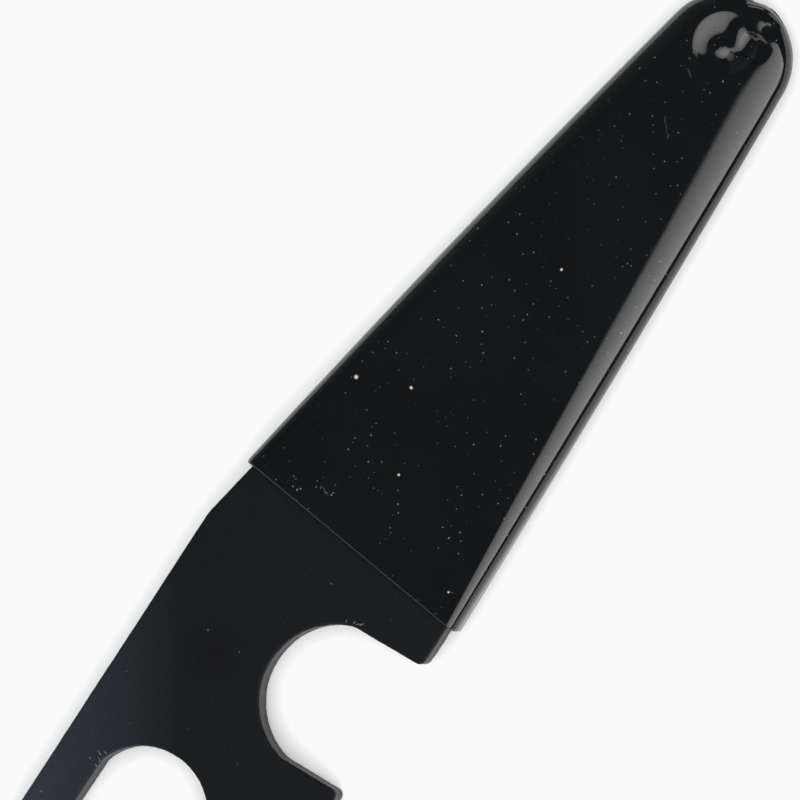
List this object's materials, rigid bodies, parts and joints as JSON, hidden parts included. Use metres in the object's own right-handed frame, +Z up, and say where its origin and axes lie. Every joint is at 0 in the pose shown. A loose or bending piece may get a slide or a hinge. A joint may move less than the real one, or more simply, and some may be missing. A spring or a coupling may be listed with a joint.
{
  "type": "flat open-jaw wrench",
  "caption": "Flat steel wrench with a wide jaw on its front edge, a smaller jaw at its end and a tapered grip of dipped vinyl that sinks into the hang hole.",
  "frame": {"origin": "middle of the footprint, at the height of the surface that the grip rests on", "axes": "+X along the tool from the grip towards the end jaw, +Y across it towards the edge that the side jaw opens on, +Z up through the plate"},
  "size_m": [0.1648, 0.0408, 0.0068],
  "materials": {
    "black_coated_steel": "satin black coating on blanked steel, with bare-looking cut edges and fine dust",
    "black_vinyl": "high-gloss dipped vinyl, soft, with a thin lip at the mouth"
  },
  "bodies": {
    "root": {"wrench_plate": "black_coated_steel", "vinyl_grip": "black_vinyl"}
  },
  "joints": []
}
